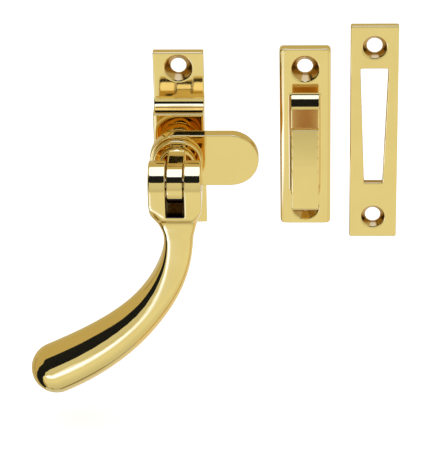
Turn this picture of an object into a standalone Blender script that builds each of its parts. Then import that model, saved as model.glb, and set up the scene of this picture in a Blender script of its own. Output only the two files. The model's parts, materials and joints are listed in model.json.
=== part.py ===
"""Reversible bulb-end casement fastener with its hook plate and mortice plate.

The origin is the turning axis of the fastener at the back face of its mounting plate.
+X points right, +Y goes into the window and +Z goes up. Every plate has its back in the
plane Y = 0 and the fastener stands out towards -Y. "Forward" below means the distance in
front of that plane.
"""

from math import asin, cos, exp, pi, radians, sin

import bmesh
import bpy
from mathutils import Matrix, Vector

MM = 0.001
GAP = 0.3 * MM

# Mounting plate: a cast strip with a raised centre block.
PLATE_WIDTH = 16.0 * MM
PLATE_LENGTH = 60.4 * MM
PLATE_THICKNESS = 3.0 * MM
BLOCK_FORWARD = PLATE_THICKNESS + 6.9 * MM
BLOCK_LENGTH = 24.2 * MM
BLOCK_FOOT_LENGTH = 25.8 * MM
BLOCK_COVE = 0.5 * MM
SCREW_OFFSET = 24.8 * MM
SCREW_RADIUS = 2.45 * MM
SCREW_HEAD_RADIUS = 4.5 * MM
COUNTERSINK_DEPTH = 1.9 * MM
SOFT_EDGE = 0.35 * MM

# Spindle: riveted at the back, square where it drives the tongue, flanged in front.
SHAFT_RADIUS = 3.3 * MM
SQUARE_HALF = 2.4 * MM
COUNTERBORE_RADIUS = 6.0 * MM
COUNTERBORE_DEPTH = 4.6 * MM
RIVET_RADIUS = 4.6 * MM
RIVET_THICKNESS = 1.1 * MM
RIVET_RECESS = 0.2 * MM
FLANGE_RADIUS = 5.8 * MM
FLANGE_THICKNESS = 1.6 * MM
WASHER_RADIUS = 5.5 * MM
WASHER_THICKNESS = 0.9 * MM
SPRING_DISH = 0.5 * MM

# Tongue and the collars on either side of it.
COLLAR_RADIUS = 6.5 * MM
TONGUE_BACK = PLATE_THICKNESS + 12.0 * MM
TONGUE_THICKNESS = 3.6 * MM
TONGUE_RADIUS = 8.9 * MM
TONGUE_REACH = 25.5 * MM
BOSS_RADIUS = 7.9 * MM
BOSS_THICKNESS = 2.0 * MM

# Knuckle: the spindle's lug between the two ears of the handle.
KNUCKLE_FORWARD = PLATE_THICKNESS + 31.4 * MM
LUG_HALF = 2.55 * MM
LUG_ROOT_HALF = 4.8 * MM
LUG_RADIUS = 6.1 * MM
FORK_HALF = 8.2 * MM
FORK_SLOT_HALF = LUG_HALF + GAP
FORK_RADIUS = 7.1 * MM
FORK_FLOOR = -8.3 * MM
FORK_BOTTOM = -7.0 * MM
PIN_RADIUS = 2.0 * MM

# Handle: the arm turns from the vertical towards the horizontal and swells to a bulb.
NECK_TOP = Vector((0.00065, 0.0, -0.0174))
ARM_LENGTH = 67.2 * MM
ARM_FULL_TURN = radians(87.6)
ARM_TURN_LENGTH = 50.0 * MM
NECK_RADIUS = 4.5 * MM
BULB_RADIUS = 8.2 * MM
NECK_SQUARENESS = 4.0
BULB_SQUARENESS = 2.1

# Hook plate.
HOOK_X = 40.1 * MM
HOOK_Z = 0.6 * MM
HOOK_WIDTH = 16.2 * MM
HOOK_LENGTH = 61.8 * MM
HOOK_THICKNESS = 3.5 * MM
HOOK_CORNER = 1.2 * MM
HOOK_HOLES = (24.6 * MM, -24.4 * MM)
RIB_WIDTH = 9.4 * MM
RIB_HEIGHT = 3.1 * MM
RIB_NOSE_RADIUS = 9.1 * MM
RIB_NOSE_ANGLE = radians(49)
RIB_TOP = 15.9 * MM
STRAP_WIDTH = 8.6 * MM
STRAP_TOP = 11.6 * MM
STRAP_BOTTOM = -14.9 * MM
STRAP_TOP_FORWARD = HOOK_THICKNESS + 17.5 * MM
STRAP_BULGE = 1.3 * MM
STRAP_THICKNESS = 2.2 * MM
STRAP_ROOT = -18.6 * MM
STRAP_ROOT_THICKNESS = 3.4 * MM

# Mortice plate.
MORTICE_X = 62.0 * MM
MORTICE_Z = 1.5 * MM
MORTICE_WIDTH = 15.2 * MM
MORTICE_LENGTH = 74.6 * MM
MORTICE_THICKNESS = 2.4 * MM
MORTICE_HOLES = (31.5 * MM, -28.5 * MM)
MORTICE_HEAD_RADIUS = 3.9 * MM
SLOT_TOP = 24.1 * MM
SLOT_BOTTOM = -16.2 * MM
SLOT_TOP_HALF = 4.4 * MM
SLOT_BOTTOM_HALF = 2.95 * MM

# Local +Z of a shape becomes forward, or its local +X becomes forward.
FACING = Matrix.Rotation(pi / 2, 4, "X")
EDGE_ON = Matrix.Rotation(-pi / 2, 4, "Z") @ Matrix.Rotation(pi / 2, 4, "X")

BRASS = (0.86, 0.66, 0.29)
STEEL = (0.62, 0.61, 0.58)


def clear_scene():
    for obj in list(bpy.data.objects):
        bpy.data.objects.remove(obj)


def collection(name):
    made = bpy.data.collections.new(name)
    bpy.context.scene.collection.children.link(made)
    return made


def metal(name, colour, roughness):
    made = bpy.data.materials.new(name)
    made.use_nodes = True
    shader = made.node_tree.nodes["Principled BSDF"]
    shader.inputs["Base Color"].default_value = (*colour, 1.0)
    shader.inputs["Metallic"].default_value = 1.0
    shader.inputs["Roughness"].default_value = roughness
    return made


def add(name, mesh, matrix, group):
    obj = bpy.data.objects.new(name, mesh)
    obj.matrix_world = matrix
    group.objects.link(obj)
    return obj


def arc(centre, radius, start, end, steps):
    """Points on a circle in a plane, from one angle to another."""
    angles = [start + (end - start) * i / steps for i in range(steps + 1)]
    return [(centre[0] + radius * cos(a), centre[1] + radius * sin(a)) for a in angles]


def outline_solid(name, loops, thickness, matrix, group):
    """A flat outline, holes included, as a closed mesh centred on the outline's plane."""
    curve = bpy.data.curves.new(name, "CURVE")
    curve.dimensions = "2D"
    curve.fill_mode = "BOTH"
    curve.extrude = thickness / 2
    for loop in loops:
        spline = curve.splines.new("POLY")
        spline.points.add(len(loop) - 1)
        for point, (x, y) in zip(spline.points, loop):
            point.co = (x, y, 0, 1)
        spline.use_cyclic_u = True
    guide = bpy.data.objects.new(name + "_outline", curve)
    group.objects.link(guide)
    graph = bpy.context.evaluated_depsgraph_get()
    mesh = bpy.data.meshes.new_from_object(guide.evaluated_get(graph))
    bpy.data.objects.remove(guide)
    work = bmesh.new()
    work.from_mesh(mesh)
    bmesh.ops.remove_doubles(work, verts=work.verts, dist=0.001 * MM)
    bmesh.ops.dissolve_limit(
        work, angle_limit=radians(1), verts=work.verts, edges=work.edges
    )
    bmesh.ops.recalc_face_normals(work, faces=work.faces)
    work.to_mesh(mesh)
    work.free()
    mesh.name = name
    return add(name, mesh, matrix, group)


def turned(name, profile, matrix, group, steps=32, ring=False):
    """A profile of (radius, height) points, top to bottom outside, turned about local Z."""
    mesh = bpy.data.meshes.new(name)
    edges = [(i, i + 1) for i in range(len(profile) - 1)]
    if ring:
        edges.append((len(profile) - 1, 0))
    mesh.from_pydata([(r, 0, z) for r, z in profile], edges, [])
    obj = add(name, mesh, matrix, group)
    screw = obj.modifiers.new("turn", "SCREW")
    screw.steps = steps
    screw.render_steps = steps
    screw.use_merge_vertices = True
    screw.merge_threshold = 0.002 * MM
    screw.use_normal_calculate = False
    return obj


def rod(name, radius, length, matrix, group, steps=32):
    profile = [(0, length / 2), (radius, length / 2), (radius, -length / 2), (0, -length / 2)]
    return turned(name, profile, matrix, group, steps)


def box(name, size, centre, group):
    work = bmesh.new()
    bmesh.ops.create_cube(work, size=1)
    bmesh.ops.scale(work, vec=size, verts=work.verts)
    mesh = bpy.data.meshes.new(name)
    work.to_mesh(mesh)
    work.free()
    return add(name, mesh, Matrix.Translation(centre), group)


def soften(obj, width, segments=2):
    bevel = obj.modifiers.new("soft edges", "BEVEL")
    bevel.width = width
    bevel.segments = segments
    bevel.limit_method = "ANGLE"
    bevel.angle_limit = radians(40)


def combine(obj, other, operation):
    other.hide_render = True
    other.display_type = "WIRE"
    boolean = obj.modifiers.new(other.name, "BOOLEAN")
    boolean.operation = operation
    boolean.object = other


def finish(obj, material, pivot=None):
    """Gives a piece its material and smooth shading, and makes it a child of its pivot."""
    obj.data.materials.append(material)
    obj.data.shade_smooth()
    if pivot is not None:
        place = obj.matrix_world.copy()
        obj.parent = pivot
        obj.matrix_parent_inverse = pivot.matrix_world.inverted()
        obj.matrix_world = place


def pivot_empty(name, place, group, parent=None):
    empty = bpy.data.objects.new(name, None)
    empty.empty_display_size = 0.01
    group.objects.link(empty)
    empty.matrix_world = Matrix.Translation(place)
    bpy.context.view_layer.update()
    if parent is not None:
        empty.parent = parent
        empty.matrix_parent_inverse = parent.matrix_world.inverted()
        bpy.context.view_layer.update()
    return empty


def screw_hole(name, place, face, head_radius, cutters):
    """A cutter for a countersunk hole through a plate whose front is at height face."""
    overrun = 1 * MM
    slope = (head_radius - SCREW_RADIUS) / COUNTERSINK_DEPTH
    profile = [
        (0, face + overrun),
        (head_radius + overrun * slope, face + overrun),
        (SCREW_RADIUS, face - COUNTERSINK_DEPTH),
        (SCREW_RADIUS, -overrun),
        (0, -overrun),
    ]
    return turned(name, profile, Matrix.Translation(place) @ FACING, cutters, steps=28)


def mounting_plate(parts, cutters):
    half, block, foot = PLATE_LENGTH / 2, BLOCK_LENGTH / 2, BLOCK_FOOT_LENGTH / 2
    cove = arc((PLATE_THICKNESS + BLOCK_COVE, foot + BLOCK_COVE), BLOCK_COVE, pi, 1.5 * pi, 4)
    upper = [(0, half), (PLATE_THICKNESS, half), *cove, (BLOCK_FORWARD, block)]
    side = upper + [(x, -z) for x, z in reversed(upper)]
    plate = outline_solid("mounting_plate", [side], PLATE_WIDTH, EDGE_ON, parts)
    soften(plate, SOFT_EDGE)
    for side_name, offset in (("upper", SCREW_OFFSET), ("lower", -SCREW_OFFSET)):
        place = Vector((0, 0, offset))
        name = f"{side_name}_screw_hole"
        hole = screw_hole(name, place, PLATE_THICKNESS, SCREW_HEAD_RADIUS, cutters)
        combine(plate, hole, "DIFFERENCE")
    over = 1 * MM
    bore_radius = SHAFT_RADIUS + GAP
    bore = [
        (0, BLOCK_FORWARD + over),
        (bore_radius, BLOCK_FORWARD + over),
        (bore_radius, COUNTERBORE_DEPTH),
        (COUNTERBORE_RADIUS, COUNTERBORE_DEPTH),
        (COUNTERBORE_RADIUS, -over),
        (0, -over),
    ]
    combine(plate, turned("spindle_bore", bore, FACING, cutters), "DIFFERENCE")
    return plate


def ring_profile(outer, inner, back, front, dish=0.0):
    """A washer's section. A dished one stands further forward at its rim."""
    return [(outer, front + dish), (outer, back + dish), (inner, back), (inner, front)]


def washers(parts):
    inner = SHAFT_RADIUS + GAP
    back = RIVET_RECESS + RIVET_THICKNESS + GAP
    front = back + WASHER_THICKNESS
    plain = ring_profile(WASHER_RADIUS, inner, back, front)
    back = front + GAP
    front = back + WASHER_THICKNESS
    spring = ring_profile(WASHER_RADIUS, inner, back, front, SPRING_DISH)
    return [
        turned("rivet_washer", plain, FACING, parts, ring=True),
        turned("spring_washer", spring, FACING, parts, ring=True),
    ]


def spacer_collar(parts):
    back, front = BLOCK_FORWARD + GAP, TONGUE_BACK - GAP
    profile = ring_profile(COLLAR_RADIUS, SHAFT_RADIUS + GAP, back, front)
    return turned("spacer_collar", profile, FACING, parts, ring=True)


def square_cutter(name, back, front, cutters):
    side = 2 * (SQUARE_HALF + GAP)
    over = 1 * MM
    size = (side, front - back + 2 * over, side)
    return box(name, size, Vector((0, -(front + back) / 2, 0)), cutters)


def tongue(parts, cutters):
    tip_centre = TONGUE_REACH - TONGUE_RADIUS
    shape = arc((0, 0), TONGUE_RADIUS, pi / 2, 1.5 * pi, 22)
    shape += arc((tip_centre, 0), TONGUE_RADIUS, -pi / 2, pi / 2, 22)
    middle = TONGUE_BACK + TONGUE_THICKNESS / 2
    place = Matrix.Translation((0, -middle, 0)) @ FACING
    blade = outline_solid("tongue", [shape], TONGUE_THICKNESS, place, parts)
    soften(blade, SOFT_EDGE)
    front = TONGUE_BACK + TONGUE_THICKNESS
    combine(blade, square_cutter("tongue_square_hole", TONGUE_BACK, front, cutters), "DIFFERENCE")
    return blade


def boss_collar(parts, cutters):
    back = TONGUE_BACK + TONGUE_THICKNESS + GAP
    front = back + BOSS_THICKNESS
    chamfer = 0.4 * MM
    profile = [
        (0, front),
        (BOSS_RADIUS - chamfer, front),
        (BOSS_RADIUS, front - chamfer),
        (BOSS_RADIUS, back),
        (0, back),
    ]
    boss = turned("boss_collar", profile, FACING, parts, steps=40)
    combine(boss, square_cutter("boss_square_hole", back, front, cutters), "DIFFERENCE")
    return boss


def lug_outline(back):
    """The lug from the side: a straight neck that ends in a round eye."""
    meeting = asin(LUG_ROOT_HALF / LUG_RADIUS)
    eye = arc((KNUCKLE_FORWARD, 0), LUG_RADIUS, pi - meeting, meeting - pi, 28)
    return [(back, LUG_ROOT_HALF), *eye, (back, -LUG_ROOT_HALF)]


def spindle(parts, cutters):
    flange_back = TONGUE_BACK + TONGUE_THICKNESS + BOSS_THICKNESS + 2 * GAP
    flange_front = flange_back + FLANGE_THICKNESS
    square_back = TONGUE_BACK - GAP
    rivet_front = RIVET_RECESS + RIVET_THICKNESS
    chamfer = 0.4 * MM
    shaft = [
        (0, flange_front),
        (FLANGE_RADIUS - chamfer, flange_front),
        (FLANGE_RADIUS, flange_front - chamfer),
        (FLANGE_RADIUS, flange_back),
        (SQUARE_HALF * 0.9, flange_back),
        (SQUARE_HALF * 0.9, square_back),
        (SHAFT_RADIUS, square_back),
        (SHAFT_RADIUS, rivet_front),
        (RIVET_RADIUS, rivet_front),
        (RIVET_RADIUS - chamfer, RIVET_RECESS),
        (0, RIVET_RECESS),
    ]
    body = turned("spindle", shaft, FACING, parts, steps=36)
    overlap = 0.5 * MM
    length = flange_back - square_back + 2 * overlap
    size = (2 * SQUARE_HALF, length, 2 * SQUARE_HALF)
    place = Vector((0, -(flange_back + square_back) / 2, 0))
    combine(body, box("spindle_square", size, place, cutters), "UNION")
    outline = [lug_outline(flange_front - overlap)]
    lug = outline_solid("spindle_lug", outline, 2 * LUG_HALF, EDGE_ON, cutters)
    soften(lug, SOFT_EDGE)
    combine(body, lug, "UNION")
    combine(body, knuckle_bore("lug_pin_hole", cutters), "DIFFERENCE")
    return body


def knuckle_bore(name, cutters):
    place = Matrix.Translation((0, -KNUCKLE_FORWARD, 0)) @ EDGE_ON
    return rod(name, PIN_RADIUS + GAP, 3 * FORK_HALF, place, cutters, steps=24)


def superellipse(half_width, half_depth, squareness, sides):
    """A closed outline between an ellipse (squareness 2) and a rectangle."""
    points = []
    for i in range(sides):
        angle = 2 * pi * i / sides
        c, s = cos(angle), sin(angle)
        across = half_width * abs(c) ** (2 / squareness) * (1 if c >= 0 else -1)
        deep = half_depth * abs(s) ** (2 / squareness) * (1 if s >= 0 else -1)
        points.append((across, deep))
    return points


def shoulder_sections():
    """(centre x, height, half width, half depth, squareness) from the fork to the neck."""
    tops = [
        (0.0, FORK_BOTTOM / MM + 0.8, FORK_HALF / MM - 0.2, FORK_RADIUS / MM - 0.2, 9.0),
        (-0.1, -8.4, 8.1, 6.9, 6.0),
        (-0.1, -9.8, 7.7, 6.8, 4.0),
        (0.1, -11.0, 7.0, 6.6, 3.3),
        (0.4, -12.4, 6.2, 6.3, 3.2),
        (0.65, -13.9, 5.5, 5.9, 3.5),
        (0.8, -15.4, 5.0, 5.5, 3.8),
    ]
    return [(x * MM, z * MM, wide * MM, deep * MM, squareness) for x, z, wide, deep, squareness in tops]


def arm_turn(length):
    """How far the arm has turned from straight down, this far along it."""
    return ARM_FULL_TURN * (1 - exp(-length / ARM_TURN_LENGTH))


def arm_heading(turn):
    return Vector((-sin(turn), 0, -cos(turn)))


def arm_sections(steps, cap_steps):
    """Sections along the bent arm and round its domed end."""
    sections = []
    place = NECK_TOP.copy()
    step = ARM_LENGTH / steps
    for i in range(steps + 1):
        share = i / steps
        swell = (1 - cos(pi * share)) / 2
        radius = NECK_RADIUS + (BULB_RADIUS - NECK_RADIUS) * swell
        depth = radius + 0.5 * MM * (1 - share)
        squareness = NECK_SQUARENESS + (BULB_SQUARENESS - NECK_SQUARENESS) * share ** 0.5
        sections.append((place.copy(), arm_turn(i * step), radius, depth, squareness))
        place = place + arm_heading(arm_turn((i + 0.5) * step)) * step
    end, turn, radius, depth, squareness = sections[-1]
    heading = arm_heading(turn)
    for i in range(1, cap_steps):
        angle = pi / 2 * i / cap_steps
        centre = end + heading * radius * sin(angle)
        shrink = cos(angle)
        sections.append((centre, turn, radius * shrink, depth * shrink, squareness))
    return sections, end + heading * radius


def loft_handle(name, sides, group):
    """The shoulders, neck, arm and bulb as one closed surface."""
    rings = []
    for x, z, half_width, half_depth, squareness in shoulder_sections():
        rings.append((Vector((x, 0, z)), 0.0, half_width, half_depth, squareness))
    arm, tip = arm_sections(steps=26, cap_steps=7)
    rings += arm
    work = bmesh.new()
    loops = []
    for centre, turn, half_width, half_depth, squareness in rings:
        across_axis = Vector((cos(turn), 0, -sin(turn)))
        loop = []
        for across, deep in superellipse(half_width, half_depth, squareness, sides):
            point = centre + across_axis * across + Vector((0, -deep - KNUCKLE_FORWARD, 0))
            loop.append(work.verts.new(point))
        loops.append(loop)
    for upper, lower in zip(loops, loops[1:]):
        for i in range(sides):
            j = (i + 1) % sides
            work.faces.new((upper[i], upper[j], lower[j], lower[i]))
    work.faces.new(list(reversed(loops[0])))
    pole = work.verts.new(tip + Vector((0, -KNUCKLE_FORWARD, 0)))
    for i in range(sides):
        work.faces.new((loops[-1][i], loops[-1][(i + 1) % sides], pole))
    bmesh.ops.recalc_face_normals(work, faces=work.faces)
    mesh = bpy.data.meshes.new(name)
    work.to_mesh(mesh)
    work.free()
    return add(name, mesh, Matrix.Identity(4), group)


def handle(parts, cutters):
    crown = arc((KNUCKLE_FORWARD, 0), FORK_RADIUS, 0, pi, 26)
    back, front = KNUCKLE_FORWARD - FORK_RADIUS, KNUCKLE_FORWARD + FORK_RADIUS
    outline = [(front, FORK_BOTTOM), *crown, (back, FORK_BOTTOM)]
    body = outline_solid("handle", [outline], 2 * FORK_HALF, EDGE_ON, parts)
    soften(body, 0.5 * MM)
    combine(body, loft_handle("arm_and_bulb", 28, cutters), "UNION")
    slot_height = 30 * MM
    size = (2 * FORK_SLOT_HALF, 4 * FORK_RADIUS, slot_height)
    place = Vector((0, -KNUCKLE_FORWARD, FORK_FLOOR + slot_height / 2))
    combine(body, box("fork_slot", size, place, cutters), "DIFFERENCE")
    combine(body, knuckle_bore("ear_pin_holes", cutters), "DIFFERENCE")
    return body


def knuckle_pin(parts):
    place = Matrix.Translation((0, -KNUCKLE_FORWARD, 0)) @ EDGE_ON
    return rod("knuckle_pin", PIN_RADIUS, 2 * FORK_HALF - 0.1 * MM, place, parts, steps=24)


def rounded_rectangle(width, length, corner, steps=4):
    points = []
    for quarter, (sx, sz) in enumerate(((1, 1), (-1, 1), (-1, -1), (1, -1))):
        centre = (sx * (width / 2 - corner), sz * (length / 2 - corner))
        start = quarter * pi / 2
        points += arc(centre, corner, start, start + pi / 2, steps)
    return points


def strap_outline():
    """The hook from the side: a root wall off the plate, bent up into a bulging strap."""
    def front_forward(z):
        share = (STRAP_TOP - z) / (STRAP_TOP - STRAP_BOTTOM)
        return STRAP_TOP_FORWARD + STRAP_BULGE * share * (2 - share)

    heights = [STRAP_TOP + (STRAP_BOTTOM - STRAP_TOP) * i / 8 for i in range(9)]
    front = [(front_forward(z), z) for z in heights]
    inner_bottom = STRAP_ROOT + STRAP_ROOT_THICKNESS + 2.6 * MM
    inner = [(x - STRAP_THICKNESS, z) for x, z in front if z > inner_bottom]
    buried = HOOK_THICKNESS - 1.0 * MM
    corner = 1.2 * MM
    last = front[-1][0]
    lower = [
        (last - 0.35 * corner, STRAP_BOTTOM - 0.8 * corner),
        (last - corner, STRAP_BOTTOM - corner),
    ]
    root = [(buried, STRAP_ROOT), (buried, STRAP_ROOT + STRAP_ROOT_THICKNESS)]
    throat = [(inner[-1][0] - 1.6 * MM, inner_bottom - 1.4 * MM)]
    return front + lower + root + throat + list(reversed(inner))


def rib_outline():
    forward = HOOK_THICKNESS + RIB_HEIGHT
    centre = (forward - RIB_NOSE_RADIUS, RIB_TOP - RIB_NOSE_RADIUS * sin(RIB_NOSE_ANGLE))
    nose = arc(centre, RIB_NOSE_RADIUS, 0, RIB_NOSE_ANGLE, 10)
    buried = HOOK_THICKNESS - 0.8 * MM
    bottom = STRAP_ROOT + 0.4 * MM
    return [(forward, bottom), *nose, (buried, RIB_TOP), (buried, bottom)]


def hook_plate(parts, cutters):
    place = Matrix.Translation((HOOK_X, -HOOK_THICKNESS / 2, HOOK_Z)) @ FACING
    loops = [rounded_rectangle(HOOK_WIDTH, HOOK_LENGTH, HOOK_CORNER)]
    plate = outline_solid("hook_plate", loops, HOOK_THICKNESS, place, parts)
    soften(plate, SOFT_EDGE)
    beside = Matrix.Translation((HOOK_X, 0, 0)) @ EDGE_ON
    rib = outline_solid("hook_rib", [rib_outline()], RIB_WIDTH, beside, cutters)
    strap = outline_solid("hook_strap", [strap_outline()], STRAP_WIDTH, beside, cutters)
    soften(rib, 0.3 * MM)
    soften(strap, 0.3 * MM)
    combine(plate, rib, "UNION")
    combine(plate, strap, "UNION")
    for number, height in enumerate(HOOK_HOLES, 1):
        spot = Vector((HOOK_X, 0, height))
        name = f"hook_screw_hole_{number}"
        hole = screw_hole(name, spot, HOOK_THICKNESS, SCREW_HEAD_RADIUS, cutters)
        combine(plate, hole, "DIFFERENCE")
    return plate


def mortice_plate(parts, cutters):
    place = Matrix.Translation((MORTICE_X, -MORTICE_THICKNESS / 2, MORTICE_Z)) @ FACING
    top, bottom = SLOT_TOP - MORTICE_Z, SLOT_BOTTOM - MORTICE_Z
    slot = [
        (-SLOT_TOP_HALF, top),
        (SLOT_TOP_HALF, top),
        (SLOT_BOTTOM_HALF, bottom),
        (-SLOT_BOTTOM_HALF, bottom),
    ]
    rim = rounded_rectangle(MORTICE_WIDTH, MORTICE_LENGTH, 0.4 * MM, steps=2)
    plate = outline_solid("mortice_plate", [rim, slot], MORTICE_THICKNESS, place, parts)
    soften(plate, 0.25 * MM)
    for number, height in enumerate(MORTICE_HOLES, 1):
        spot = Vector((MORTICE_X, 0, height))
        name = f"mortice_screw_hole_{number}"
        hole = screw_hole(name, spot, MORTICE_THICKNESS, MORTICE_HEAD_RADIUS, cutters)
        combine(plate, hole, "DIFFERENCE")
    return plate


def main():
    clear_scene()
    parts = collection("casement_fastener")
    cutters = collection("cutters")
    polished = metal("polished_brass", BRASS, 0.08)
    plain = metal("plain_brass", BRASS, 0.35)
    spring_steel = metal("spring_steel", STEEL, 0.3)

    turning = pivot_empty("tongue_turn_axis", Vector((0, 0, 0)), parts)
    knuckle = Vector((0, -KNUCKLE_FORWARD, 0))
    flipping = pivot_empty("handle_flip_axis", knuckle, parts, turning)

    finish(mounting_plate(parts, cutters), polished)
    finish(hook_plate(parts, cutters), polished)
    finish(mortice_plate(parts, cutters), polished)

    plain_washer, spring_washer = washers(parts)
    finish(plain_washer, plain, turning)
    finish(spring_washer, spring_steel, turning)
    for piece in (
        spacer_collar(parts),
        tongue(parts, cutters),
        boss_collar(parts, cutters),
        spindle(parts, cutters),
    ):
        finish(piece, polished, turning)

    finish(handle(parts, cutters), polished, flipping)
    finish(knuckle_pin(parts), polished, flipping)


main()
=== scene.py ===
"""Studio scene of a polished brass casement fastener with its hook plate and mortice plate.

Fine meshes stand for the plain CAD solids and ride on the same bodies. Shapes are modelled in
millimetres, with the CAD's axes: +X right, +Y into the window, +Z up, and the mounting plate's
back in the plane Y = 0. "Forward" means the distance in front of that plane. Each mesh is
scaled to metres when it is published.
"""

import json
from math import asin, cos, exp, pi, radians, sin

import bmesh
import bpy
from mathutils import Matrix, Vector

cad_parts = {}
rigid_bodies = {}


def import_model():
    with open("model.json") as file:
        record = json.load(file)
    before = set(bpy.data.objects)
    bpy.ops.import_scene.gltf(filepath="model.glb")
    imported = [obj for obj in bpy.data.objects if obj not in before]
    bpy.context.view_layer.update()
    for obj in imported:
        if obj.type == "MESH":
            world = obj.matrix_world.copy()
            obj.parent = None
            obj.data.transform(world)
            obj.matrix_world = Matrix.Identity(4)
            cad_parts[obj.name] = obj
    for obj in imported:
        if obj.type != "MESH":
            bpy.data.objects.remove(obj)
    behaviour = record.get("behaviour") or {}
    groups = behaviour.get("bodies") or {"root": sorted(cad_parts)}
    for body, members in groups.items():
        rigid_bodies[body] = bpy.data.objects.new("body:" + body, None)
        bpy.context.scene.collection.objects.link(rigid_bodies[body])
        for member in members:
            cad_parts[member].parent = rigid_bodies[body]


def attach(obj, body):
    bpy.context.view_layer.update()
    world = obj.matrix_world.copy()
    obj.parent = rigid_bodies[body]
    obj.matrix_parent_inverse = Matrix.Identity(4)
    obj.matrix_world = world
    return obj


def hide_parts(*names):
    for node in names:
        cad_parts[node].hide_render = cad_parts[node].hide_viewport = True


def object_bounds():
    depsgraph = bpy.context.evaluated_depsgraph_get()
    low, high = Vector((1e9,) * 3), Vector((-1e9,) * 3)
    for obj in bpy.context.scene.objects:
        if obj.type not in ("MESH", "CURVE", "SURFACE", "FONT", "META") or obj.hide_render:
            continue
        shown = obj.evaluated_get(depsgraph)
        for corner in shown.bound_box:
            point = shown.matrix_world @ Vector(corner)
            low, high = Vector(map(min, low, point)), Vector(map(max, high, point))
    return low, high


for existing in list(bpy.data.objects):
    bpy.data.objects.remove(existing)
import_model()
cad_low, cad_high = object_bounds()

MM = 0.001
GAP = 0.3

# Mounting plate.
PLATE_WIDTH = 16.0
PLATE_LENGTH = 60.4
PLATE_THICKNESS = 3.0
BLOCK_FORWARD = PLATE_THICKNESS + 6.9
BLOCK_LENGTH = 24.2
BLOCK_FOOT_LENGTH = 24.0
BLOCK_COVE = 2.5
SCREW_OFFSET = 24.8
SCREW_RADIUS = 2.45
SCREW_HEAD_RADIUS = 4.5
COUNTERSINK_DEPTH = 2.4
HOLE_LAND = 0.5

# Spindle, washers, collars and tongue.
SHAFT_RADIUS = 3.3
SQUARE_HALF = 2.4
COUNTERBORE_RADIUS = 6.0
COUNTERBORE_DEPTH = 4.6
RIVET_RADIUS = 4.6
RIVET_THICKNESS = 1.1
RIVET_RECESS = 0.2
FLANGE_RADIUS = 5.8
FLANGE_THICKNESS = 1.6
WASHER_RADIUS = 5.5
WASHER_THICKNESS = 0.9
WASHER_EDGE = 0.12
SPRING_DISH = 0.5
COLLAR_RADIUS = 6.5
COLLAR_EDGE = 0.35
TONGUE_BACK = PLATE_THICKNESS + 12.0
TONGUE_THICKNESS = 3.6
TONGUE_RADIUS = 8.9
TONGUE_REACH = 25.5
TONGUE_DRAFT = 0.985
BOSS_RADIUS = 7.9
BOSS_THICKNESS = 2.0
BOSS_EDGE = 0.4
SPINDLE_CHAMFER = 0.4

# Knuckle. The flare is (forward of the flange, half height) where the lug spreads to meet it.
KNUCKLE_FORWARD = PLATE_THICKNESS + 31.4
LUG_HALF = 2.55
LUG_ROOT_HALF = 4.8
LUG_RADIUS = 6.1
LUG_SUNK = 0.5
LUG_FLARE = ((0, 5.75), (1.2, 5.35), (3.0, LUG_ROOT_HALF + 0.15))
FORK_HALF = 8.2
FORK_SLOT_HALF = LUG_HALF + GAP
FORK_RADIUS = 7.1
FORK_FLOOR = -8.3
FORK_BOTTOM = -5.0
FORK_EDGE = 0.35
PIN_RADIUS = 2.0
PIN_EDGE = 0.3
PIN_INSET = 0.05

# Arm and bulb. The arm's flat front gives way to a round section over its first part.
NECK_X = 0.65
NECK_Z = -17.4
ARM_LENGTH = 67.2
ARM_FULL_TURN = radians(87.6)
ARM_TURN_LENGTH = 50.0
ARM_ROUND_BY = 0.5
QUARTER_CIRCLE = 2.0
NECK_SETTLES_IN = 3.0
NECK_RADIUS = 4.5
BULB_RADIUS = 8.2

# Hook plate.
HOOK_X = 40.1
HOOK_Z = 0.6
HOOK_WIDTH = 16.2
HOOK_LENGTH = 61.8
HOOK_THICKNESS = 3.5
HOOK_CORNER = 1.2
HOOK_HOLES = (24.6, -24.4)
HOOK_ROLL = 2.6
HOOK_ROLL_DROP = 0.7
RIB_WIDTH = 9.4
RIB_HEIGHT = 3.1
RIB_NOSE_RADIUS = 8.1
RIB_NOSE_START = radians(20)
RIB_NOSE_END = radians(56)
RIB_TOP = 15.9
RIB_SUNK = 0.8
RIB_ABOVE_ROOT = 0.4
STRAP_WIDTH = 8.6
STRAP_TOP = 11.6
STRAP_BOTTOM = -14.9
STRAP_TOP_FORWARD = HOOK_THICKNESS + 17.5
STRAP_BULGE = 1.3
STRAP_THICKNESS = 2.2
STRAP_ROOT = -18.6
STRAP_ROOT_THICKNESS = 3.4
STRAP_SUNK = 1.0
STRAP_CORNER = 1.2
THROAT_RISE = 2.6
THROAT_CUT = (1.6, 1.4)

# Mortice plate.
MORTICE_X = 62.0
MORTICE_Z = 1.5
MORTICE_WIDTH = 15.2
MORTICE_LENGTH = 74.6
MORTICE_THICKNESS = 2.4
MORTICE_HOLES = (31.5, -28.5)
MORTICE_HEAD_RADIUS = 3.9
MORTICE_CORNER = 0.4
SLOT_TOP = 24.1
SLOT_BOTTOM = -16.2
SLOT_TOP_HALF = 4.4
SLOT_BOTTOM_HALF = 2.95

# Looks. Polishing lines run up and down, so their noise is stretched along Z.
BRASS = (0.84, 0.60, 0.21)
CLOUD_TINT = (0.97, 0.955, 0.92)
CLOUD_SCALE = 90.0
POLISH_LINES = (2600, 2600, 260)
POLISH_BUMP = 0.00002
RECESS_BROWN = (0.52, 0.30, 0.08)
RECESS_GRAIN = 0.14
RIM_CLEAR = 0.5
FACE_CLEAR = 0.12

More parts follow.
